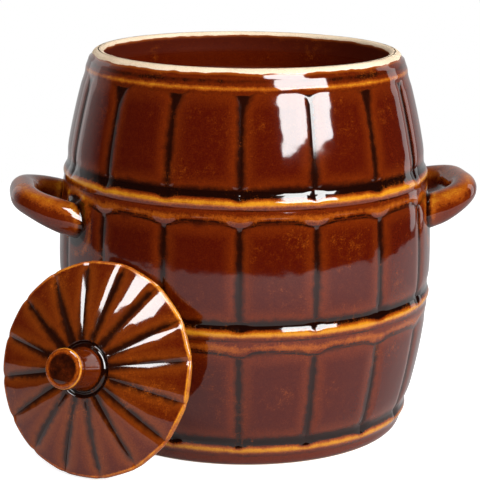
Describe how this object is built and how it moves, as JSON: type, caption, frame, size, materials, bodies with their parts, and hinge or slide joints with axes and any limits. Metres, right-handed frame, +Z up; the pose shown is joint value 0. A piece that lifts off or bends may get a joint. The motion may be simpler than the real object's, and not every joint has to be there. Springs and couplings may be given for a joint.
{
  "type": "water seal pickle jar",
  "caption": "Glazed stoneware pickle jar shaped like a stave barrel, with loop handles, a water gutter sunk in its neck and a ribbed lid with a knob leaning on its belly.",
  "frame": {"origin": "centre of the crock's flat foot, on the ground", "axes": "+Z up along the crock's axis; +X through the right handle; -Y the front, with the lid leaning on the front left"},
  "size_m": [0.3335, 0.2753, 0.26],
  "materials": {
    "brown_glaze": "glossy red-brown glaze, near black in the grooves and honey on the ridges",
    "inner_glaze": "glossy plain brown glaze",
    "bare_stoneware": "matt unglazed cream stoneware"
  },
  "bodies": {
    "crock": {"crock_body": "brown_glaze", "gutter_ring": "inner_glaze", "handle_left": "brown_glaze", "handle_right": "brown_glaze"},
    "lid": {"lid_cover": "brown_glaze", "lid_skirt": "bare_stoneware", "lid_knob": "brown_glaze"}
  },
  "joints": [
    {"name": "lid_lift", "type": "slide", "parent": "crock", "child": "lid", "axis": [-0.5757, -0.771, 0.2723], "range_m": [0, 0.15]}
  ]
}
